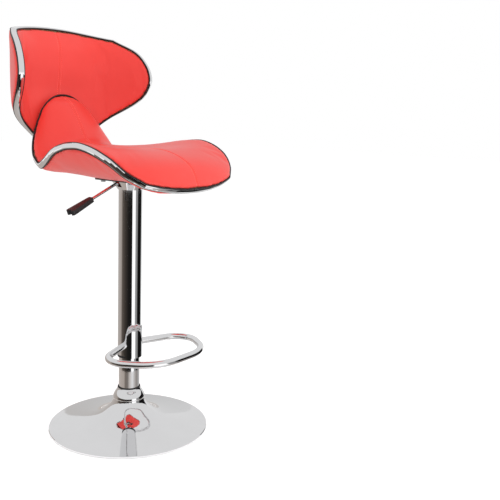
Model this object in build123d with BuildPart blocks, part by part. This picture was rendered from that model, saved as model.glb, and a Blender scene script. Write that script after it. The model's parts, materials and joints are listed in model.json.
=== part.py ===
from build123d import *
from math import cos, radians, sin
import os

# Adjustable swivel stool with a butterfly seat, a winged back and a trumpet base.
# Millimetres. +Z is up, the sitter faces -Y, and +X is on the sitter's left. The origin is
# on the floor, on the column's axis. Heights are those of the stool with its gas lift
# part of the way up.

# Base
base_radius = 192.5
neck_radius = 37.0
neck_height = 72.0
dish_wall = 2.0
ballast_radius = 160.0
ballast_bottom = 3.2
foot_bottom = 16.0
foot_top = 21.0
foot_radius = 58.0
foot_bolt_radius = 44.0
foot_bolt_count = 4
collar_top = 99.0

# Column
tube_radius = 25.0
tube_wall = 1.5
tube_top = 420.0
sleeve_radius = 28.0
sleeve_wall = 1.2
sleeve_bottom = 183.0
sleeve_top = 586.0
bush_bottom = 178.0
running_gap = 0.06

# Gas lift
rod_radius = 5.0
rod_top = 372.0
cylinder_radius = 14.0
cylinder_bore = 12.5
cylinder_bottom = 113.0
cylinder_top = 600.0
taper_bottom = 560.0
taper_top_radius = 13.0
bearing_radius = 9.0
ball_radius = 1.5
ball_count = 14
pin_radius = 3.0

# Lift plate and lever
plate_size = 124.0
plate_bottom = 608.0
plate_top = 611.0
cup_radius = 45.0
plate_bolt_spacing = 90.0
plate_bolt_radius = 3.0
board_radius = 80.0
board_bottom = 622.0
board_top = 634.0
lever_pivot_x = -24.0
lever_pivot_z = 604.0
lever_rod_radius = 3.5
lever_bend = (-50.0, 600.0)
grip_start = (-122.0, 571.0)
grip_end = (-191.0, 543.0)
grip_thickness = 11.0

# Footrest
footrest_height = 210.0
footrest_tube = 8.0
footrest_bore = 6.5
bracket_bottom = 178.0
bracket_top = 256.0
bracket_wall = 2.6

# Seat: seat_plane is tipped forward, so that the pan and the upright tongue both face it
seat_height = 680.0
seat_tip = 27.0
seat_reach = 200.0
seat_thickness = 17.0
pad_layer = 6.0
shell_layer = 6.0
seat_droop_power = 2.2
section_columns = 20
station_steps = 4
surface_tolerance = 0.1
layer_gap = 1.2
# Edge bands: how far they stand off the pads, how far their edges lie in from the seat's two
# faces, their wall at the edges and how much more it is in the middle
trim_gap = 2.0
trim_inset = 2.0
trim_lip = 1.0
trim_crown = 2.2
trim_steps = 8
seat_plane = Plane(
    origin=(0, 0, seat_height),
    x_dir=(1, 0, 0),
    z_dir=(0, -sin(radians(seat_tip)), cos(radians(seat_tip))),
)

# Side of the seat from the front corner back to the tongue's tip: half-width, place along
# the seat, and how far the middle of that cross-section lies ahead of its ends
seat_sides = [
    (140, -193, 26), (172, -160, 15), (188, -118, 5), (196, -70, 0), (199, -12, 0),
    (190, 30, 0), (174, 66, 0), (150, 106, 0), (136, 136, 0), (131, 160, 0),
    (118, 188, -2), (98, 216, -8), (72, 243, -23),
]
# Heights of the seat's edge surface, of the pad's crown and of the belly, along the seat
pan_centre = [
    (-240, 20), (-219, 30), (-203, 37), (-185, 44), (-160, 48), (-130, 46), (-92, 37),
    (-63, 24), (-34, 8), (26, -22), (58, -38), (91, -53), (125, -64), (148, -65),
    (180, -50), (205, -36), (234, -18), (262, -1), (290, 16),
]
pan_side = [
    (-240, -2), (-219, 10), (-190, 27), (-157, 43), (-137, 51), (-115, 55), (-76, 53),
    (-38, 43), (-12, 30), (19, 10), (64, -31), (99, -90), (130, -157), (153, -164),
    (180, -170), (201, -178), (228, -190), (252, -178), (290, -150),
]
pad_crown = [
    (-212, 0), (-196, 6), (-175, 11), (-120, 11), (-30, 9), (90, 8), (150, 8),
    (190, 12), (225, 13), (248, 8), (258, 0),
]
belly_depth = [
    (-214, 0), (-204, 11), (-171, 34), (-123, 49), (-85, 52), (-31, 51), (23, 50),
    (60, 47), (107, 45), (132, 48), (150, 38), (170, 19), (190, 3), (205, 0),
]

# Backrest
back_thickness = 17.0
back_wrap = 8.5e-8
back_crown_height = 7.0
# Side of the backrest from the tail up: half-width, height and middle of the section below
back_sides = [
    (44, 653, 7), (72, 690, 2), (105, 721, 0), (135, 746, 0), (168, 775, 0), (186, 800, 0),
    (194, 828, 0), (196, 855, -2), (191, 889, -6), (178, 920, -12), (150, 945, -15),
]
back_lean = [
    (590, 214), (646, 226), (700, 240), (750, 251), (800, 258), (859, 259), (899, 259),
    (939, 262), (972, 271), (1010, 284),
]
spacer_radius = 9.0
back_bolt_radius = 3.0
back_bolt_x = 26.0
back_bolt_heights = (688.0, 728.0)

os.makedirs("parts", exist_ok=True)


def save(part, node):
    """Label a finished sub-part and write it as its own STEP file."""
    part.label = node
    export_step(part, f"parts/{node}.step")


def smooth_value(stations, at):
    """Read a smooth curve through (position, value) stations at one position."""
    last = len(stations) - 2
    i = 0
    while i < last and at > stations[i + 1][0]:
        i += 1
    x0, y0 = stations[i]
    x1, y1 = stations[i + 1]
    before = stations[max(i - 1, 0)]
    after = stations[min(i + 2, last + 1)]
    slope0 = (y1 - before[1]) / (x1 - before[0])
    slope1 = (after[1] - y0) / (after[0] - x0)
    span = x1 - x0
    t = min(max((at - x0) / span, 0), 1)
    rise = (3 - 2 * t) * t * t
    ease_in = t * (1 - t) ** 2 * span * slope0
    ease_out = t * t * (t - 1) * span * slope1
    return y0 + (y1 - y0) * rise + ease_in + ease_out


def ring_solid(inner, outer, bottom, top):
    """A plain ring about the column's axis."""
    with BuildPart() as ring:
        with BuildSketch(Plane.XY.offset(bottom)):
            Circle(outer)
            Circle(inner, mode=Mode.SUBTRACT)
        extrude(amount=top - bottom)
    return ring.part


def turned_solid(profile):
    """Turn a (radius, height) polygon about the column's axis."""
    with BuildPart() as turned:
        with BuildSketch(Plane.XZ):
            with BuildLine():
                Polyline(*profile, close=True)
            make_face()
        revolve(axis=Axis.Z)
    return turned.part


# Base
def make_base_dish():
    slope = [(160, 9.5), (130, 14.5), (100, 21.5), (75, 31.5), (55, 46)]
    skin = [(base_radius - 1, 6)] + slope + [(neck_radius, neck_height)]
    lining = [(r - dish_wall * 0.4, z - dish_wall) for r, z in skin]
    lining[-1] = (neck_radius - dish_wall, neck_height)
    rim = [skin[0], (base_radius, 4.8), (base_radius, 2.6), (base_radius - 1, 1.6)]
    with BuildPart() as base_dish:
        with BuildSketch(Plane.XZ):
            with BuildLine():
                Spline(*skin, tangents=[(-1, 0.08), (-0.22, 1)])
                Spline(*lining, tangents=[(-1, 0.08), (-0.22, 1)])
                Polyline(*rim, (base_radius - 3, 1.6), lining[0])
                Line(skin[-1], lining[-1])
            make_face()
        revolve(axis=Axis.Z)
    save(base_dish.part, "base_dish")


def make_ballast_plate():
    with BuildPart() as ballast_plate:
        with BuildSketch(Plane.XZ):
            with BuildLine():
                Polyline(
                    (30, ballast_bottom), (ballast_radius, ballast_bottom),
                    (ballast_radius, 6), (100, 14), (64, foot_bottom),
                    (30, foot_bottom), close=True,
                )
            make_face()
        revolve(axis=Axis.Z)
        with Locations(Plane.XY.offset(ballast_bottom).rotated((180, 0, 0))):
            with PolarLocations(foot_bolt_radius, foot_bolt_count, start_angle=45):
                CounterBoreHole(radius=4.3, counter_bore_radius=9, counter_bore_depth=5.6)
    save(ballast_plate.part, "ballast_plate")


def make_tube_foot():
    with BuildPart() as tube_foot:
        with BuildSketch(Plane.XY.offset(foot_bottom)):
            Circle(foot_radius)
            Circle(rod_radius + running_gap, mode=Mode.SUBTRACT)
            with PolarLocations(foot_bolt_radius, foot_bolt_count, start_angle=45):
                Circle(4.0, mode=Mode.SUBTRACT)
        extrude(amount=foot_top - foot_bottom)
    save(tube_foot.part, "tube_foot")


def make_foot_bolts():
    head_bottom = ballast_bottom + 0.6
    head_top = ballast_bottom + 5.6
    with BuildPart() as foot_bolts:
        with BuildSketch(Plane.XY.offset(head_bottom)):
            with PolarLocations(foot_bolt_radius, foot_bolt_count, start_angle=45):
                RegularPolygon(7.5, 6)
        extrude(amount=head_top - head_bottom)
        with BuildSketch(Plane.XY.offset(head_top)):
            with PolarLocations(foot_bolt_radius, foot_bolt_count, start_angle=45):
                Circle(4.0)
        extrude(amount=foot_top + 3 - head_top)
    save(foot_bolts.part, "foot_bolts")


def make_stand_tube():
    with BuildPart() as stand_tube:
        with BuildSketch(Plane.XY.offset(foot_top)):
            Circle(tube_radius)
            Circle(tube_radius - tube_wall, mode=Mode.SUBTRACT)
        extrude(amount=tube_top - foot_top)
    save(stand_tube.part, "stand_tube")


def make_guide_bush():
    bore = cylinder_radius + running_gap
    plug = tube_radius - tube_wall
    profile = [(bore, 396), (plug, 396), (plug, tube_top), (tube_radius, tube_top)]
    profile += [(tube_radius, tube_top + 3), (bore, tube_top + 3)]
    save(turned_solid(profile), "guide_bush")


def make_base_collar():
    wall = 1.3
    foot = neck_height + 0.4
    flare = [(neck_radius + 1.5, foot), (36.5, 82), (31, 92), (27.4, collar_top)]
    lining = [(r - wall, z) for r, z in flare]
    with BuildPart() as base_collar:
        with BuildSketch(Plane.XZ):
            with BuildLine():
                Spline(*flare, tangents=[(0.1, 1), (-0.3, 1)])
                Spline(*lining, tangents=[(0.1, 1), (-0.3, 1)])
                Line(flare[0], lining[0])
                Line(flare[-1], lining[-1])
            make_face()
        revolve(axis=Axis.Z)
    save(base_collar.part, "base_collar")


def make_base():
    make_base_dish()
    make_ballast_plate()
    save(ring_solid(166, 186, 0, 3), "floor_ring")
    make_tube_foot()
    make_foot_bolts()
    make_stand_tube()
    make_guide_bush()
    make_base_collar()
    seal_bottom = collar_top + 0.2
    save(ring_solid(tube_radius, 27.4, seal_bottom, seal_bottom + 2.2), "collar_seal")


# Swivel bearing and rod
def make_bearing():
    race_top = foot_top + 2
    ball_centre = race_top + ball_radius
    save(ring_solid(rod_radius + 0.4, 13, foot_top, race_top), "bearing_lower_race")
    with BuildPart() as bearing_balls:
        with Locations((0, 0, ball_centre)):
            with PolarLocations(bearing_radius, ball_count):
                Sphere(ball_radius)
    save(bearing_balls.part, "bearing_balls")
    with BuildPart() as ball_cage:
        with BuildSketch(Plane.XY.offset(ball_centre - 0.5)):
            Circle(12.4)
            Circle(rod_radius + 0.6, mode=Mode.SUBTRACT)
            with PolarLocations(bearing_radius, ball_count):
                Circle(ball_radius + 0.15, mode=Mode.SUBTRACT)
        extrude(amount=1)
    save(ball_cage.part, "ball_cage")
    upper_bottom = race_top + 2 * ball_radius + 0.02
    buffer_bottom = upper_bottom + 2
    save(ring_solid(rod_radius, 13, upper_bottom, buffer_bottom), "bearing_upper_race")
    save(ring_solid(rod_radius, 12, buffer_bottom, buffer_bottom + 12), "rubber_buffer")


def make_piston_rod():
    groove = rod_radius - 0.8
    clip_bottom = 13.6
    clip_top = 15.2
    profile = [
        (0, 11.4), (rod_radius, 11.4), (rod_radius, clip_bottom), (groove, clip_bottom),
        (groove, clip_top), (rod_radius, clip_top), (rod_radius, rod_top), (0, rod_top),
    ]
    save(turned_solid(profile), "piston_rod")
    save(ring_solid(groove, 9.5, clip_bottom, clip_top), "rod_clip")
    save(ring_solid(rod_radius, cylinder_bore - 0.05, rod_top - 12, rod_top - 1), "piston")


# Gas cylinder and sleeve
def make_gas_cylinder():
    bore_top = cylinder_top - 15
    pin_bore = pin_radius + 0.05
    profile = [
        (cylinder_bore, cylinder_bottom), (cylinder_radius, cylinder_bottom),
        (cylinder_radius, taper_bottom), (taper_top_radius, cylinder_top),
        (pin_bore, cylinder_top), (pin_bore, bore_top), (cylinder_bore, bore_top),
    ]
    save(turned_solid(profile), "gas_cylinder")
    guide_top = cylinder_bottom + 15
    save(ring_solid(rod_radius + 0.05, cylinder_bore, cylinder_bottom, guide_top), "rod_guide")


def make_taper_socket():
    socket_radius = 20.0
    profile = [
        (cylinder_radius, taper_bottom), (socket_radius, taper_bottom),
        (socket_radius, cylinder_top - 1), (taper_top_radius + 0.025, cylinder_top - 1),
    ]
    save(turned_solid(profile), "taper_socket")
    spacer_outer = sleeve_radius - sleeve_wall
    save(ring_solid(socket_radius + 0.1, spacer_outer, 568, sleeve_top), "sleeve_spacer")


def make_outer_sleeve():
    bore = sleeve_radius - sleeve_wall
    save(ring_solid(bore, sleeve_radius, sleeve_bottom, sleeve_top), "outer_sleeve")
    rub = tube_radius + running_gap
    profile = [
        (rub, bush_bottom), (sleeve_radius + 0.4, bush_bottom),
        (sleeve_radius + 0.4, sleeve_bottom), (bore, sleeve_bottom),
        (bore, sleeve_bottom + 22), (rub, sleeve_bottom + 22),
    ]
    save(turned_solid(profile), "sleeve_bush")


def make_footrest_bracket():
    inner = sleeve_radius + 0.5
    outer = inner + bracket_wall
    with BuildPart() as footrest_bracket:
        with BuildSketch(Plane.XY.offset(bracket_bottom)):
            Circle(outer)
            Circle(inner, mode=Mode.SUBTRACT)
        extrude(amount=bracket_top - bracket_bottom)
        with BuildSketch(Plane.YZ):
            with BuildLine():
                Polyline(
                    (-outer - 1, bracket_bottom), (-16, bracket_bottom), (-10, 190),
                    (-6, 202), (-6, 220), (-12, 236), (-21, 248), (-25, bracket_top),
                    (-outer - 1, bracket_top), close=True,
                )
            make_face()
        extrude(amount=outer + 5, both=True, mode=Mode.INTERSECT)
    save(footrest_bracket.part, "footrest_bracket")


def make_footrest_ring():
    hub = sleeve_radius + 0.5 + bracket_wall
    left = [(27, -9), (152, -57), (80, -174)]
    corners = left + [(-x, y) for x, y in reversed(left)]
    with BuildPart() as footrest_ring:
        with BuildLine(Plane.XY.offset(footrest_height)) as bend:
            FilletPolyline(*corners, radius=[50, 95, 95, 50])
        with BuildSketch(Plane(origin=bend.line @ 0, z_dir=bend.line % 0)):
            Circle(footrest_tube)
            Circle(footrest_bore, mode=Mode.SUBTRACT)
        sweep(path=bend.line)
        with Locations((0, 0, footrest_height)):
            Cylinder(hub, 40, mode=Mode.SUBTRACT)
    save(footrest_ring.part, "footrest_ring")


# Lift plate and lever
def bolt_corners():
    return GridLocations(plate_bolt_spacing, plate_bolt_spacing, 2, 2)


def make_seat_plate():
    with BuildPart() as seat_plate:
        with BuildSketch(Plane.XY.offset(plate_bottom)):
            RectangleRounded(plate_size, plate_size, 12)
            Circle(cup_radius - 3, mode=Mode.SUBTRACT)
            with bolt_corners():
                Circle(plate_bolt_radius + 0.3, mode=Mode.SUBTRACT)
        extrude(amount=plate_top - plate_bottom)
    save(seat_plate.part, "seat_plate")


def make_lever_cup():
    floor_top = sleeve_top + 3
    with BuildPart() as lever_cup:
        with BuildSketch(Plane.XZ):
            with BuildLine():
                Polyline(
                    (20.2, sleeve_top), (30, sleeve_top), (cup_radius, plate_bottom - 2),
                    (cup_radius, plate_bottom), (cup_radius - 2.5, plate_bottom),
                    (28.8, floor_top), (20.2, floor_top), close=True,
                )
            make_face()
        revolve(axis=Axis.Z)
        with BuildSketch(Plane.YZ):
            with Locations((0, 602)):
                Rectangle(13, 18)
        extrude(amount=-60, mode=Mode.SUBTRACT)
    save(lever_cup.part, "lever_cup")


def make_lever_ears():
    ear_gap = 5.0
    ear_wall = 2.0
    with BuildPart() as lever_ears:
        with BuildSketch(Plane.XZ.offset(-ear_gap - ear_wall)):
            with Locations((lever_pivot_x, 598.5)):
                Rectangle(7.4, 19)
            with Locations((lever_pivot_x, lever_pivot_z)):
                Circle(2.05, mode=Mode.SUBTRACT)
        extrude(amount=ear_wall)
        mirror(about=Plane.XZ)
    save(lever_ears.part, "lever_ears")
    with BuildPart() as lever_pivot:
        with BuildSketch(Plane.XZ):
            with Locations((lever_pivot_x, lever_pivot_z)):
                Circle(2.0)
        extrude(amount=ear_gap + ear_wall + 1, both=True)
    save(lever_pivot.part, "lever_pivot")


def make_lever_rod():
    tip = (3, lever_pivot_z + 3)
    with BuildPart() as lever_rod:
        with BuildLine(Plane.XZ) as run:
            FilletPolyline(tip, lever_bend, (grip_end[0] + 25, grip_end[1] + 10), radius=20)
        with BuildSketch(Plane(origin=run.line @ 0, z_dir=run.line % 0)):
            Circle(lever_rod_radius)
        sweep(path=run.line)
        with BuildSketch(Plane.XZ):
            with Locations((lever_pivot_x, lever_pivot_z)):
                Circle(2.0)
        extrude(amount=10, both=True, mode=Mode.SUBTRACT)
    save(lever_rod.part, "lever_rod")
    return lever_rod.part


def make_lever_grip(rod):
    start = Vector(grip_start[0], 0, grip_start[1])
    end = Vector(grip_end[0], 0, grip_end[1])
    length = (end - start).length
    along = (end - start).normalized()
    blade = Plane(origin=start, x_dir=along, z_dir=along.cross(Vector(0, 1, 0)))
    with BuildPart() as lever_grip:
        with BuildSketch(blade):
            with BuildLine():
                upper = Polyline((0, 0), (0, 6), (8, 7.5), (length - 12, 12))
                upper_round = CenterArc((length - 12, 6), 6, 0, 90)
                notch = Line((length - 6, 6), (length - 12, 0))
                mirror(about=Plane(origin=blade.origin, z_dir=blade.y_dir))
            make_face()
        extrude(amount=grip_thickness / 2, both=True)
        add(rod, mode=Mode.SUBTRACT)
    save(lever_grip.part, "lever_grip")


def make_release_pin():
    pin_top = lever_pivot_z - 1.4
    save(turned_solid([(0, 588), (pin_radius, 588), (pin_radius, pin_top), (0, pin_top)]), "release_pin")


def make_plate_fasteners():
    with BuildPart() as base_board:
        with BuildSketch(Plane.XY.offset(board_bottom)):
            Circle(board_radius)
            with bolt_corners():
                Circle(4.2, mode=Mode.SUBTRACT)
        extrude(amount=board_top - board_bottom)
    save(base_board.part, "base_board")
    with BuildPart() as plate_washers:
        with BuildSketch(Plane.XY.offset(plate_bottom - 1.4)):
            with bolt_corners():
                Circle(7)
                Circle(plate_bolt_radius + 0.2, mode=Mode.SUBTRACT)
        extrude(amount=1.4)
    save(plate_washers.part, "plate_washers")
    head_top = plate_bottom - 1.4
    with BuildPart() as plate_bolts:
        with BuildSketch(Plane.XY.offset(head_top - 4)):
            with bolt_corners():
                RegularPolygon(5.8, 6)
        extrude(amount=4)
        with BuildSketch(Plane.XY.offset(head_top)):
            with bolt_corners():
                Circle(plate_bolt_radius)
        extrude(amount=board_top - head_top)
    save(plate_bolts.part, "plate_bolts")
    with BuildPart() as tee_nuts:
        with BuildSketch(Plane.XY.offset(board_top)):
            with bolt_corners():
                Circle(9)
                Circle(plate_bolt_radius, mode=Mode.SUBTRACT)
        extrude(amount=1.5)
        with BuildSketch(Plane.XY.offset(board_top - 8)):
            with bolt_corners():
                Circle(4.2)
                Circle(plate_bolt_radius, mode=Mode.SUBTRACT)
        extrude(amount=8)
    save(tee_nuts.part, "tee_nuts")


# Seat
def pan_height(across, along):
    """Height of the seat's edge surface above seat_plane."""
    centre = smooth_value(pan_centre, along)
    side = smooth_value(pan_side, along)
    return centre + (side - centre) * (abs(across) / seat_reach) ** seat_droop_power


def pan_point(across, along, depth):
    """Point on the seat's edge surface, moved down by a depth along its normal."""
    step = 1.0
    slope_x = (pan_height(across + step, along) - pan_height(across - step, along)) / (2 * step)
    slope_y = (pan_height(across, along + step) - pan_height(across, along - step)) / (2 * step)
    normal = Vector(-slope_x, -slope_y, 1).normalized()
    local = Vector(across, along, pan_height(across, along)) - normal * depth
    return seat_plane.from_local_coords(local)


def section_places():
    """Places across a cross-section, from -1 on the sitter's right to 1 on the left."""
    return [2 * i / section_columns - 1 for i in range(section_columns + 1)]


def finer_sides(sides):
    """The same side with more stations, read from a smooth curve through the given ones."""
    halves = [(along, half) for half, along, ahead in sides]
    leads = [(along, ahead) for half, along, ahead in sides]
    finer = []
    for (along, half), (next_along, next_half) in zip(halves, halves[1:]):
        for i in range(station_steps):
            at = along + (next_along - along) * i / station_steps
            finer.append((smooth_value(halves, at), at, smooth_value(leads, at)))
    finer.append(sides[-1])
    return finer


def place_grid(sides):
    """Rows of (place across, across, along), one row for each station."""
    rows = []
    for half, along, ahead in finer_sides(sides):
        row = []
        for v in section_places():
            row.append((v, v * half, along - ahead * (1 - abs(v) ** 2.2)))
        rows.append(row)
    return rows


def curved_solid(upper, lower):
    """Closed solid between two matching grids of points."""
    top = Face.make_surface_from_array_of_points(upper, tol=surface_tolerance)
    bottom = Face.make_surface_from_array_of_points(lower, tol=surface_tolerance)
    pairs = zip(top.edges(), bottom.edges())
    walls = [Face.make_surface_from_curves(above, below) for above, below in pairs]
    with BuildPart() as curved:
        add(Solid(Shell([top, bottom] + walls)))
    return curved.part


def grid_loops(grid):
    """The four borders of a grid of points, each with the corners at its ends."""
    first = grid[0]
    last = grid[-1][::-1]
    left = [row[-1] for row in grid]
    right = [row[0] for row in grid[::-1]]
    return [first, left, last, right]


def band_section():
    """Round the band's section: share of the way from front to rear, and reach outwards."""
    section = [(0, trim_gap)]
    for i in range(trim_steps + 1):
        turn = radians(180 * i / trim_steps)
        section.append(((1 - cos(turn)) / 2, trim_gap + trim_lip + trim_crown * sin(turn)))
    section.append((1, trim_gap))
    return section


def band_solid(point_at, sides, thickness):
    """Edge band round a grid: a crowned strip square to the surface, outside its border."""
    places = place_grid(sides)
    front = [[point_at(x, y, -trim_inset) for v, x, y in row] for row in places]
    rear = [[point_at(x, y, trim_inset - thickness) for v, x, y in row] for row in places]
    middle = front[len(front) // 2][section_columns // 2]
    rails = []
    for front_side, rear_side in zip(grid_loops(front), grid_loops(rear)):
        rails.append(list(zip(front_side, rear_side)))
    loop = [pair for side in rails for pair in side[:-1]]
    outward = []
    for i, (near, far) in enumerate(loop):
        tangent = loop[(i + 1) % len(loop)][0] - loop[i - 1][0]
        away = tangent.cross(far - near).normalized()
        if away.dot(near - middle) < 0:
            away = away * -1
        outward.append(away)
    faces = []
    start = 0
    for side in rails:
        lines = []
        for share, reach in band_section():
            points = []
            for i, (near, far) in enumerate(side):
                away = outward[(start + i) % len(loop)]
                points.append(near + (far - near) * share + away * reach)
            lines.append(Edge.make_spline(points))
        for one, other in zip(lines, lines[1:] + lines[:1]):
            faces.append(Face.make_surface_from_curves(one, other))
        start += len(side) - 1
    with BuildPart() as band:
        add(Solid(Shell(faces)))
    return band.part


def seat_grid(depth, crown=None, belly=None):
    """Points on the seat's edge surface at a depth, with a crown or belly in the middle."""
    rows = []
    for row in place_grid(seat_sides):
        points = []
        for v, x, y in row:
            fade = 1 - abs(v) ** 2.6
            rise = smooth_value(crown, y) * fade if crown else 0
            drop = smooth_value(belly, y) * fade if belly else 0
            points.append(pan_point(x, y, depth - rise) - seat_plane.z_dir * drop)
        rows.append(points)
    return rows


def back_bolt_bores(radius):
    """Four rods where the backrest's bolts run, front to back."""
    with BuildPart() as bores:
        with BuildSketch(Plane.XZ):
            for height in back_bolt_heights:
                with Locations((back_bolt_x, height), (-back_bolt_x, height)):
                    Circle(radius)
        extrude(amount=-400)
    return bores.part


def make_seat():
    shell_top = pad_layer + layer_gap
    shell_bottom = pad_layer + shell_layer
    with BuildPart() as seat_pad:
        add(curved_solid(seat_grid(0, crown=pad_crown), seat_grid(pad_layer)))
    save(seat_pad.part, "seat_pad")

    with BuildPart() as seat_shell:
        add(curved_solid(seat_grid(shell_top), seat_grid(shell_bottom)))
    save(seat_shell.part, "seat_shell")

    with BuildPart() as seat_underside:
        upper = seat_grid(shell_bottom + layer_gap)
        add(curved_solid(upper, seat_grid(seat_thickness, belly=belly_depth)))
        with BuildSketch(Plane.XY.offset(board_bottom - 0.2)):
            Circle(board_radius + 0.3)
        extrude(amount=board_top - board_bottom + 2, mode=Mode.SUBTRACT)
        with BuildSketch(Plane.XY.offset(plate_bottom - 12)):
            Rectangle(plate_size + 4, plate_size + 4)
        extrude(amount=plate_top - plate_bottom + 12.2, mode=Mode.SUBTRACT)
        with BuildSketch(Plane.XY.offset(plate_bottom)):
            with bolt_corners():
                Circle(plate_bolt_radius + 0.3)
        extrude(amount=board_bottom - plate_bottom, mode=Mode.SUBTRACT)
        add(back_bolt_bores(back_bolt_radius + 0.3), mode=Mode.SUBTRACT)
    save(seat_underside.part, "seat_underside")

    def seat_point(x, y, rise):
        return pan_point(x, y, -rise)

    save(band_solid(seat_point, seat_sides, seat_thickness), "seat_trim")
    return [seat_pad.part, seat_shell.part, seat_underside.part]


# Backrest
def back_point(across, height, forward):
    """Point on the backrest's front surface, moved forward square to itself."""
    wrap = 4 * back_wrap * across ** 3
    lean = smooth_value(back_lean, height + 1) - smooth_value(back_lean, height)
    normal = Vector(-wrap, -1, -lean).normalized()
    depth = smooth_value(back_lean, height) - back_wrap * across ** 4
    return Vector(across, depth, height) + normal * forward


def back_grid(forward, crowned=False):
    rows = []
    for row in place_grid(back_sides):
        points = []
        for v, x, z in row:
            window = min(max((z - 816) / 50, 0), max((956 - z) / 40, 0), 1)
            rise = back_crown_height * window * (1 - abs(v) ** 2.6) if crowned else 0
            points.append(back_point(x, z, forward + rise))
        rows.append(points)
    return rows


def make_backrest():
    behind_pad = -pad_layer
    behind_shell = behind_pad - shell_layer
    bores = back_bolt_bores(back_bolt_radius + 0.3)
    with BuildPart() as backrest_pad:
        add(curved_solid(back_grid(0, crowned=True), back_grid(behind_pad)))
        add(bores, mode=Mode.SUBTRACT)
    save(backrest_pad.part, "backrest_pad")

    with BuildPart() as backrest_shell:
        add(curved_solid(back_grid(behind_pad - layer_gap), back_grid(behind_shell)))
        add(bores, mode=Mode.SUBTRACT)
    save(backrest_shell.part, "backrest_shell")

    with BuildPart() as backrest_cover:
        add(curved_solid(back_grid(behind_shell - layer_gap), back_grid(-back_thickness)))
        add(bores, mode=Mode.SUBTRACT)
    save(backrest_cover.part, "backrest_cover")

    save(band_solid(back_point, back_sides, back_thickness), "backrest_trim")
    return [backrest_pad.part, backrest_shell.part, backrest_cover.part]


def make_back_fasteners(tongue, back):
    """Spacers between the tongue and the backrest, and the bolts that pass through them."""
    nose = 150.0
    tail = 290.0
    head_radius = 8.0
    head_height = 4.0
    with BuildPart() as backrest_spacers:
        with BuildSketch(Plane.XZ.offset(-nose)):
            for height in back_bolt_heights:
                with Locations((back_bolt_x, height), (-back_bolt_x, height)):
                    Circle(spacer_radius)
                    Circle(back_bolt_radius + 0.3, mode=Mode.SUBTRACT)
        extrude(amount=nose - tail)
        for piece in tongue + back:
            add(piece, mode=Mode.SUBTRACT)
    between = []
    for piece in backrest_spacers.solids():
        if piece.volume > 2000 and nose + 30 < piece.center().Y < tail - 30:
            between.append(piece)
    save(Part() + between, "backrest_spacers")

    with BuildPart() as backrest_bolts:
        for height in back_bolt_heights:
            seat_side = smooth_value(back_lean, height) + back_thickness
            with BuildSketch(Plane.XZ.offset(-seat_side)):
                with Locations((back_bolt_x, height), (-back_bolt_x, height)):
                    Circle(head_radius)
            extrude(amount=-head_height)
            with BuildSketch(Plane.XZ.offset(-nose)):
                with Locations((back_bolt_x, height), (-back_bolt_x, height)):
                    Circle(back_bolt_radius)
            extrude(amount=nose - seat_side)
        for piece in tongue + back:
            add(piece, mode=Mode.SUBTRACT)
    whole = [piece for piece in backrest_bolts.solids() if piece.volume > 900]
    save(Part() + whole, "backrest_bolts")


make_base()
make_bearing()
make_piston_rod()
make_gas_cylinder()
make_taper_socket()
make_outer_sleeve()
make_footrest_bracket()
make_footrest_ring()
make_seat_plate()
make_lever_cup()
make_lever_ears()
lever_rod = make_lever_rod()
make_lever_grip(lever_rod)
make_release_pin()
make_plate_fasteners()
tongue_layers = make_seat()
back_layers = make_backrest()
make_back_fasteners(tongue_layers, back_layers)
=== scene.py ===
import json
import math
import bpy
from mathutils import Matrix, Vector


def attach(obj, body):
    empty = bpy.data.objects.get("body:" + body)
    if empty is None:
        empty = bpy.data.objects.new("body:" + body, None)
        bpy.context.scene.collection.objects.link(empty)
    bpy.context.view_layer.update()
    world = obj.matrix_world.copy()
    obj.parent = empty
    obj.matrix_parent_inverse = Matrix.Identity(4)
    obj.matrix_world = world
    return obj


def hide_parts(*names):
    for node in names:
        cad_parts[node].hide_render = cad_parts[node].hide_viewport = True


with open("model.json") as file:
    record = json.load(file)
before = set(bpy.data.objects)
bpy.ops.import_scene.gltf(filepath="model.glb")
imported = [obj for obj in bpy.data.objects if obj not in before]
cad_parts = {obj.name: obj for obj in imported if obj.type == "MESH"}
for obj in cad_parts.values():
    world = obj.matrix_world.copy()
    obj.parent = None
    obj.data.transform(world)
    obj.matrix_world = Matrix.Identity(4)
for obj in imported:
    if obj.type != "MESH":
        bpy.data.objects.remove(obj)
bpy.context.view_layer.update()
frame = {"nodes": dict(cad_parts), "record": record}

nodes = frame["nodes"]


# shader maths: a socket that can be used in Python expressions
class Signal:
    def __init__(self, paint, socket):
        self.paint = paint
        self.socket = socket

    def maths(self, operation, first, second):
        return self.paint.add("ShaderNodeMath", {"operation": operation}, {0: first, 1: second})

    def __add__(self, other):
        return self.maths("ADD", self, other)

    def __radd__(self, other):
        return self.maths("ADD", other, self)

    def __sub__(self, other):
        return self.maths("SUBTRACT", self, other)

    def __rsub__(self, other):
        return self.maths("SUBTRACT", other, self)

    def __mul__(self, other):
        return self.maths("MULTIPLY", self, other)

    def __rmul__(self, other):
        return self.maths("MULTIPLY", other, self)


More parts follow.
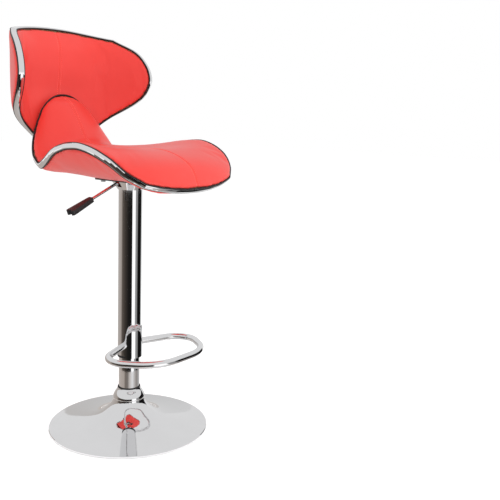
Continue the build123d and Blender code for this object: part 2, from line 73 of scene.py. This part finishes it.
class Paint:
    def __init__(self, name, **values):
        self.material = bpy.data.materials.new(name)
        self.material.use_nodes = True
        self.tree = self.material.node_tree
        self.shader = self.tree.nodes["Principled BSDF"]
        for socket, value in values.items():
            self.shader.inputs[socket.replace("_", " ")].default_value = value

    def add(self, kind, settings=None, inputs=None, output=0):
        node = self.tree.nodes.new(kind)
        for name, value in (settings or {}).items():
            setattr(node, name, value)
        for key, value in (inputs or {}).items():
            if isinstance(value, Signal):
                self.tree.links.new(value.socket, node.inputs[key])
            else:
                node.inputs[key].default_value = value
        return Signal(self, node.outputs[output])

    def feed(self, socket, signal):
        self.tree.links.new(signal.socket, self.shader.inputs[socket])

    def place(self):
        return self.add("ShaderNodeTexCoord", output="Object")

    def noise(self, scale, detail=3.0, rough=0.5):
        return self.add("ShaderNodeTexNoise", {}, {
            "Vector": self.place(), "Scale": scale, "Detail": detail, "Roughness": rough})

    def blend(self, factor, first, second):
        return self.add("ShaderNodeMix", {"data_type": "RGBA"},
                        {0: factor, 6: first, 7: second}, output=2)

    def bump(self, height, strength, distance):
        self.feed("Normal", self.add("ShaderNodeBump", {}, {
            "Height": height, "Strength": strength, "Distance": distance}))


def colour(red, green, blue):
    return (red, green, blue, 1.0)


# finishes
vinyl = {"light": colour(0.80, 0.052, 0.040), "deep": colour(0.70, 0.030, 0.022),
         "grain": 520.0, "grainHeight": 0.00022, "roughness": 0.40}


def makeVinyl(name, light, deep):
    paint = Paint(name, Specular_IOR_Level=0.45, Coat_Roughness=0.32, Sheen_Weight=0.06)
    cloudy = paint.noise(9.0, 4.0)
    paint.feed("Base Color", paint.blend(cloudy, deep, light))
    cells = paint.add("ShaderNodeTexVoronoi", {"feature": "DISTANCE_TO_EDGE"}, {
        "Vector": paint.place(), "Scale": vinyl["grain"]})
    fine = paint.noise(vinyl["grain"] * 2.1, 2.0)
    wrinkles = paint.noise(38.0, 5.0, 0.6)
    height = cells * 0.8 + fine * 0.35 + wrinkles * 0.9
    paint.bump(height, 0.35, vinyl["grainHeight"])
    paint.feed("Roughness", vinyl["roughness"] + cloudy * 0.10 - fine * 0.05)
    paint.feed("Coat Weight", 0.10 + cloudy * 0.08)
    return paint.material


def makeMetal(name, base, roughness, scratch=0.03, grain=260.0):
    paint = Paint(name, Metallic=1.0)
    smudge = paint.noise(14.0, 4.0, 0.62)
    hairline = paint.add("ShaderNodeTexNoise", {}, {
        "Vector": paint.place(), "Scale": grain, "Detail": 2.0})
    tint = tuple(part * 0.93 for part in base[:3]) + (1.0,)
    paint.feed("Base Color", paint.blend(smudge, tint, base))
    paint.feed("Roughness", roughness + smudge * scratch + hairline * scratch * 0.4)
    paint.bump(hairline + smudge, 0.02, 0.0002)
    return paint.material


def makePlastic(name, base, roughness, grain, height):
    paint = Paint(name, Specular_IOR_Level=0.4)
    speckle = paint.noise(grain, 3.0)
    patch = paint.noise(22.0, 3.0)
    paler = tuple(part * 1.5 + 0.004 for part in base[:3]) + (1.0,)
    paint.feed("Base Color", paint.blend(patch, base, paler))
    paint.feed("Roughness", roughness + patch * 0.08 + speckle * 0.05)
    paint.bump(speckle, 0.5, height)
    return paint.material


def makePlywood(name):
    paint = Paint(name, Roughness=0.6)
    rings = paint.add("ShaderNodeTexWave", {"wave_type": "BANDS", "bands_direction": "X"}, {
        "Vector": paint.place(), "Scale": 22.0, "Distortion": 6.0, "Detail": 3.0})
    paint.feed("Base Color", paint.blend(
        rings, colour(0.42, 0.27, 0.14), colour(0.58, 0.42, 0.24)))
    paint.bump(rings, 0.15, 0.0003)
    return paint.material


redVinyl = makeVinyl("redVinyl", vinyl["light"], vinyl["deep"])
# welt vinyl: lighter and pinker than the cushion vinyl, a painted highlight along the raised seam
weltVinylPaintedHighlight = makeVinyl("weltVinylPaintedHighlight", colour(0.84, 0.085, 0.065), colour(0.78, 0.06, 0.045))
chrome = makeMetal("chrome", colour(0.84, 0.84, 0.85), 0.03)
brightSteel = makeMetal("brightSteel", colour(0.50, 0.50, 0.51), 0.26, 0.10, 700.0)
castIron = makePlastic("castIron", colour(0.05, 0.05, 0.05), 0.62, 240.0, 0.0006)
blackPlastic = makePlastic("blackPlastic", colour(0.012, 0.012, 0.013), 0.34, 900.0, 0.0001)
blackRubber = makePlastic("blackRubber", colour(0.010, 0.010, 0.010), 0.62, 600.0, 0.0002)
blackPaint = makePlastic("blackPaint", colour(0.012, 0.012, 0.012), 0.30, 420.0, 0.0001)
plywood = makePlywood("plywood")
slotFinish = {"chrome": chrome, "red_vinyl": redVinyl, "black_plastic": blackPlastic,
              "black_rubber": blackRubber, "steel": brightSteel, "black_paint": blackPaint,
              "iron": castIron, "plywood": plywood}


def finishNodes():
    for entry in frame["record"]["subparts"]:
        node = nodes[entry["node"]]
        node.data.materials.clear()
        node.data.materials.append(slotFinish[entry["material_slot"]])
    print("finishes on", len(nodes), "nodes")


finishNodes()


# small modelling helpers
def pickOnly(piece):
    if bpy.context.object and bpy.context.object.mode != "OBJECT":
        bpy.ops.object.mode_set(mode="OBJECT")
    bpy.ops.object.select_all(action="DESELECT")
    piece.select_set(True)
    bpy.context.view_layer.objects.active = piece


def applyModifier(piece, kind, **settings):
    pickOnly(piece)
    modifier = piece.modifiers.new(kind.lower(), kind)
    for name, value in settings.items():
        setattr(modifier, name, value)
    bpy.ops.object.modifier_apply(modifier=modifier.name)


def copyNode(name, pieceName):
    source = nodes[name]
    piece = bpy.data.objects.new(pieceName, source.data.copy())
    bpy.context.scene.collection.objects.link(piece)
    pickOnly(piece)
    bpy.ops.object.mode_set(mode="EDIT")
    bpy.ops.mesh.select_all(action="SELECT")
    bpy.ops.mesh.remove_doubles(threshold=0.00002)
    bpy.ops.mesh.normals_make_consistent(inside=False)
    bpy.ops.object.mode_set(mode="OBJECT")
    return piece


# upholstery
upholstery = {
    "seatCushion": {"node": "seat_pad", "voxel": 0.0045, "pressure": 4.0,
                    "cap": 0.004, "fill": 0.8},
    "seatBelly": {"node": "seat_underside", "voxel": 0.0045, "pressure": 2.5,
                  "cap": 0.003, "fill": 0.9},
    "backCushion": {"node": "backrest_pad", "voxel": 0.0045, "pressure": 4.0,
                    "cap": 0.004, "fill": 0.8},
    "backCover": {"node": "backrest_cover", "voxel": 0.004, "pressure": 2.0,
                  "cap": 0.003, "fill": 0.9},
}
# share of the puff that stays, and the foam's extra fullness
stretch = {"kept": 0.4, "plump": 0.0018}


def inflate(piece, pressure, cap):
    rest = [vertex.co.copy() for vertex in piece.data.vertices]
    pickOnly(piece)
    cloth = piece.modifiers.new("cloth", "CLOTH")
    cloth.settings.use_pressure = True
    cloth.settings.uniform_pressure_force = pressure
    cloth.settings.effector_weights.gravity = 0
    cloth.settings.quality = 4
    cloth.settings.tension_stiffness = 25
    cloth.settings.bending_stiffness = 6
    for step in range(1, 21):
        bpy.context.scene.frame_set(step)
    bpy.ops.object.modifier_apply(modifier=cloth.name)
    bpy.context.scene.frame_set(1)
    for vertex, start in zip(piece.data.vertices, rest):
        move = vertex.co - start
        reach = min(1.0, cap / max(move.length, 1e-6)) * stretch["kept"]
        vertex.co = start + move * reach


def makeUpholstery():
    pads = {}
    for pieceName, pad in upholstery.items():
        piece = copyNode(pad["node"], pieceName)
        applyModifier(piece, "DISPLACE", strength=stretch["plump"], mid_level=0.0)
        applyModifier(piece, "REMESH", mode="VOXEL", voxel_size=pad["voxel"], adaptivity=0.0)
        applyModifier(piece, "SMOOTH", factor=0.5, iterations=4)
        inflate(piece, pad["pressure"], pad["cap"])
        applyModifier(piece, "SMOOTH", factor=0.5, iterations=4)
        applyModifier(piece, "SUBSURF", levels=1, render_levels=1)
        piece.data.materials.clear()
        piece.data.materials.append(redVinyl)
        pickOnly(piece)
        bpy.ops.object.shade_smooth()
        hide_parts(pad["node"])
        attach(piece, "seat_unit")
        pads[pieceName] = piece
        print("upholstered", pieceName, len(piece.data.polygons))
    return pads


pads = makeUpholstery()


# seams and stitches
seatTip = math.radians(27)
seamLines = {
    "seatSeam": {"pad": "seatCushion", "origin": (0, 0.0, 0.68),
                 "along": (0, math.cos(seatTip), math.sin(seatTip)),
                 "down": (0, math.sin(seatTip), -math.cos(seatTip)), "from": -0.226, "to": 0.262},
    "backSeam": {"pad": "backCushion", "origin": (0, 0.25, 0.0), "along": (0, 0, 1),
                 "down": (0, 1, 0), "from": 0.652, "to": 0.969},
}
seamShape = {"valley": 0.0016, "valleyHalf": 0.007, "welt": 0.0009, "stitchLong": 0.0032,
             "stitchGap": 0.0015, "stitchAside": 0.0042, "stitchThick": 0.00042,
             "step": 0.001}  # how far apart the pad is read along a seam
seamThread = makePlastic("seamThread", colour(0.86, 0.16, 0.13), 0.55, 900.0, 0.0001)


def sinkValley(pad):
    inwards = [-vertex.normal for vertex in pad.data.vertices]
    for vertex, inward in zip(pad.data.vertices, inwards):
        near = 1 - abs(vertex.co.x) / seamShape["valleyHalf"]
        if near > 0:
            vertex.co += inward * seamShape["valley"] * near * near


def padPoint(pad, line, along, across):
    down = Vector(line["down"])
    start = Vector(line["origin"]) + Vector(line["along"]) * along
    start += Vector((across, 0, 0)) - down * 0.3
    hit, point, normal, face = pad.ray_cast(start, down)
    return (point, normal) if hit else None


def bendTube(name, runs, thick, ring=2):
    bpy.ops.object.select_all(action="DESELECT")
    bpy.ops.curve.primitive_nurbs_path_add(radius=0.01, location=(0, 0, 0))
    tube = bpy.context.object
    tube.name = name
    tube.data.splines.clear()
    for run in runs:
        spline = tube.data.splines.new("POLY")
        spline.points.add(len(run) - 1)
        for spot, point in zip(spline.points, run):
            spot.co = (point.x, point.y, point.z, 1)
    tube.data.bevel_depth = thick
    tube.data.bevel_resolution = ring
    tube.data.use_fill_caps = True
    pickOnly(tube)
    bpy.ops.object.convert(target="MESH")
    bpy.ops.object.shade_smooth()
    return tube


def addSeam(name, line):
    pad = pads[line["pad"]]
    sinkValley(pad)
    count = int((line["to"] - line["from"]) / seamShape["step"])
    places = [line["from"] + seamShape["step"] * i for i in range(count + 1)]
    found = [padPoint(pad, line, place, 0.0) for place in places]
    crest = [point + normal * seamShape["welt"] * 0.3 for point, normal in filter(None, found)]
    welt = bendTube(name + "Welt", [crest[::4]], seamShape["welt"])
    # the welt takes the lighter vinyl as a painted highlight on the seam
    welt.data.materials.append(weltVinylPaintedHighlight)
    stitches = []
    for side in (-1, 1):
        row = [padPoint(pad, line, place, side * seamShape["stitchAside"]) for place in places]
        lift = seamShape["stitchThick"] * 0.4
        row = [point + normal * lift for point, normal in filter(None, row)]
        run = [row[0]]
        walked = 0.0
        for before, point in zip(row, row[1:]):
            walked += (point - before).length
            cycle = seamShape["stitchLong"] + seamShape["stitchGap"]
            inStitch = walked % cycle < seamShape["stitchLong"]
            if inStitch:
                run.append(point)
            elif len(run) > 1:
                stitches.append(run)
                run = []
            else:
                run = []
    thread = bendTube(name + "Stitches", stitches, seamShape["stitchThick"], ring=1)
    thread.data.materials.append(seamThread)
    for piece in (welt, thread):
        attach(piece, "seat_unit")
    print("seam", name, len(stitches), "stitches")


for seamName, seamLine in seamLines.items():
    addSeam(seamName, seamLine)


# black bead along both edges of each chrome band: piping, made near-black to also paint the shade in the
# gap between pad and band
piping = {"thick": 0.0019, "corner": math.radians(60)}


def addPiping(name, node):
    bead = copyNode(node, name)
    pickOnly(bead)
    bpy.ops.object.mode_set(mode="EDIT")
    bpy.ops.mesh.select_mode(type="EDGE")
    bpy.ops.mesh.select_all(action="DESELECT")
    bpy.ops.mesh.edges_select_sharp(sharpness=piping["corner"])
    bpy.ops.mesh.select_all(action="INVERT")
    bpy.ops.mesh.delete(type="EDGE_FACE")
    bpy.ops.mesh.select_all(action="SELECT")
    bpy.ops.mesh.delete_loose(use_verts=True, use_edges=False, use_faces=False)
    bpy.ops.object.mode_set(mode="OBJECT")
    bpy.ops.object.convert(target="CURVE")
    bead.data.bevel_depth = piping["thick"]
    bead.data.bevel_resolution = 2
    bpy.ops.object.convert(target="MESH")
    bpy.ops.object.shade_smooth()
    bead.data.materials.clear()
    bead.data.materials.append(blackPipingGapShade)
    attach(bead, "seat_unit")
    print("piping", name, len(bead.data.polygons), "faces")


# near-black bead colour: piping plus painted shade of the gap between pad and chrome band
blackPipingGapShade = makePlastic("blackPipingGapShade", colour(0.010, 0.006, 0.006), 0.36, 800.0, 0.0001)
addPiping("seatPipingGapShade", "seat_trim")
addPiping("backPipingGapShade", "backrest_trim")


# lever grip
grip = {"round": 0.0016, "steps": 3, "corner": math.radians(40)}


def makeGrip():
    paddle = copyNode("lever_grip", "leverPaddle")
    applyModifier(paddle, "BEVEL", width=grip["round"], segments=grip["steps"],
                  limit_method="ANGLE", angle_limit=grip["corner"])
    pickOnly(paddle)
    bpy.ops.object.shade_smooth_by_angle(angle=grip["corner"])
    paddle.data.materials.clear()
    paddle.data.materials.append(blackPlastic)
    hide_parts("lever_grip")
    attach(paddle, "lever")
    print("grip", len(paddle.data.polygons), "faces")


makeGrip()


# smooth the curved CAD metal
def smoothNodes():
    for name, node in nodes.items():
        if node.hide_render:
            continue
        pickOnly(node)
        bpy.ops.object.shade_smooth_by_angle(angle=math.radians(32))


# studio
camera = {"place": (-1.2940, -1.2940, 0.782), "yaw": 53.961, "pitch": -8.23, "roll": 1.739,
          "lens": 55.23, "shiftY": -0.06}
softboxes = {
    "keyLight": {"place": (-1.2, -2.8, 2.9), "size": 1.6, "power": 62.0},
    "fillLight": {"place": (2.6, -1.8, 2.2), "size": 2.0, "power": 14.0},
    "backLight": {"place": (0.4, 2.8, 2.6), "size": 2.4, "power": 10.0},
}
roomLight = {"seen": 1.0, "shining": 0.80}
floorTone = {"paint": 0.80, "glow": 0.38}
# a low dark surround that only reflections see: degrees round from the camera, tone, warmth
surround = {
    "outer": {"from": 0.42, "to": 1.6, "rise": 0.42, "lift": 0.004, "tones": [
        (-180, 0.62, 0), (-150, 0.55, 0.2), (-92, 0.42, 0.35), (-78, 0.12, 0.5), (-45, 0.05, 0.5),
        (-14, 0.014, 0.2), (19, 0.008, 0), (23, 1.3, 0), (50, 1.3, 0), (55, 0.34, 0), (75, 0.28, 0),
        (80, 0.007, 0), (130, 0.007, 0), (137, 0.9, 0), (180, 0.62, 0)]},
    "inner": {"from": 0.215, "to": 0.42, "rise": 0.0, "lift": 0.004, "tones": [
        (-180, 0.6, 0.2), (-90, 0.5, 0.35), (-58, 0.46, 0.35), (-40, 0.2, 0.45), (-14, 0.22, 0.3),
        (5, 0.6, 0.2), (35, 0.85, 0), (70, 0.45, 0.2), (95, 0.3, 0.2), (130, 0.55, 0), (180, 0.6, 0.2)]},
}


def plainMaterial(name, tone, glow):
    paint = Paint(name, Roughness=0.9, Specular_IOR_Level=0.0)
    paint.shader.inputs["Base Color"].default_value = colour(tone, tone, tone)
    paint.shader.inputs["Emission Color"].default_value = colour(1, 1, 1)
    paint.shader.inputs["Emission Strength"].default_value = glow
    return paint.material


def toneMaterial(name, tones, cameraTurn):
    paint = Paint(name, Roughness=1.0, Specular_IOR_Level=0.0)
    paint.shader.inputs["Base Color"].default_value = colour(0, 0, 0)
    paint.shader.inputs["Emission Strength"].default_value = 1.0
    turned = paint.add("ShaderNodeVectorRotate", {"rotation_type": "Z_AXIS"}, {
        "Vector": paint.place(), "Angle": -cameraTurn})
    around = paint.add("ShaderNodeTexGradient", {"gradient_type": "RADIAL"}, {"Vector": turned}, output=1)
    ramp = paint.add("ShaderNodeValToRGB", {}, {0: around})
    stops = ramp.socket.node.color_ramp.elements
    while len(stops) < len(tones):
        stops.new(0.5)
    for stop, (degrees, tone, warm) in zip(stops, tones):
        stop.position = 0.5 + degrees / 360
        stop.color = colour(tone, tone * (1 - 0.35 * warm), tone * (1 - 0.6 * warm))
    paint.feed("Emission Color", ramp)
    return paint.material


def addSurround(name, ring, cameraTurn):
    bpy.ops.object.select_all(action="DESELECT")
    bpy.ops.mesh.primitive_circle_add(vertices=128, radius=ring["from"], location=(0, 0, ring["lift"]))
    sheet = bpy.context.object
    sheet.name = name + "Surround"
    bpy.ops.object.mode_set(mode="EDIT")
    bpy.ops.mesh.select_all(action="SELECT")
    bpy.ops.mesh.extrude_region_move()
    grow = ring["to"] / ring["from"]
    bpy.ops.transform.resize(value=(grow, grow, 1))
    if ring["rise"]:
        bpy.ops.mesh.extrude_region_move(TRANSFORM_OT_translate={"value": (0, 0, ring["rise"])})
    bpy.ops.object.mode_set(mode="OBJECT")
    sheet.data.materials.append(toneMaterial(name + "Tones", ring["tones"], cameraTurn))
    sheet.visible_camera = False
    sheet.visible_diffuse = False
    sheet.visible_shadow = False
    sheet.visible_transmission = False


def makeStudio():
    bpy.ops.object.select_all(action="DESELECT")
    bpy.ops.mesh.primitive_plane_add(size=24.0, location=(0, 0, 0))
    floor = bpy.context.object
    floor.name = "floor"
    floor.data.materials.append(plainMaterial("paleFloor", floorTone["paint"], floorTone["glow"]))

    world = bpy.context.scene.world or bpy.data.worlds.new("studio")
    bpy.context.scene.world = world
    world.use_nodes = True
    shell = world.node_tree.nodes["Background"]
    shell.inputs["Color"].default_value = colour(1, 1, 1)
    ray = world.node_tree.nodes.new("ShaderNodeLightPath")
    scale = world.node_tree.nodes.new("ShaderNodeMapRange")
    scale.inputs["To Min"].default_value = roomLight["shining"]
    scale.inputs["To Max"].default_value = roomLight["seen"]
    world.node_tree.links.new(ray.outputs["Is Camera Ray"], scale.inputs["Value"])
    world.node_tree.links.new(scale.outputs["Result"], shell.inputs["Strength"])

    for name, box in softboxes.items():
        light = bpy.data.lights.new(name, "AREA")
        light.energy = box["power"]
        light.size = box["size"]
        lamp = bpy.data.objects.new(name, light)
        bpy.context.scene.collection.objects.link(lamp)
        lamp.location = box["place"]
        aim = Vector((0, 0, 0.6)) - lamp.location
        lamp.rotation_euler = aim.to_track_quat("-Z", "Y").to_euler()
        lamp.visible_glossy = False

    cameraTurn = math.atan2(camera["place"][1], camera["place"][0])
    for name, ring in surround.items():
        addSurround(name, ring, cameraTurn)

    lens = bpy.data.cameras.new("camera")
    lens.lens = camera["lens"]
    lens.sensor_width = 36.0
    lens.shift_y = camera["shiftY"]
    viewer = bpy.data.objects.new("camera", lens)
    bpy.context.scene.collection.objects.link(viewer)
    yaw = math.radians(camera["yaw"])
    pitch = math.radians(camera["pitch"])
    ahead = Vector((math.sin(yaw), math.cos(yaw), 0)) * math.cos(pitch)
    ahead.z = math.sin(pitch)
    level = Vector((math.cos(yaw), -math.sin(yaw), 0))
    upward = level.cross(ahead)
    roll = math.radians(camera["roll"])
    right = level * math.cos(roll) + upward * math.sin(roll)
    top = upward * math.cos(roll) - level * math.sin(roll)
    viewer.matrix_world = Matrix((
        (right.x, top.x, -ahead.x, camera["place"][0]),
        (right.y, top.y, -ahead.y, camera["place"][1]),
        (right.z, top.z, -ahead.z, camera["place"][2]),
        (0, 0, 0, 1)))
    bpy.context.scene.camera = viewer
    bpy.context.scene.view_settings.view_transform = "Standard"
    print("studio ready")


smoothNodes()
makeStudio()
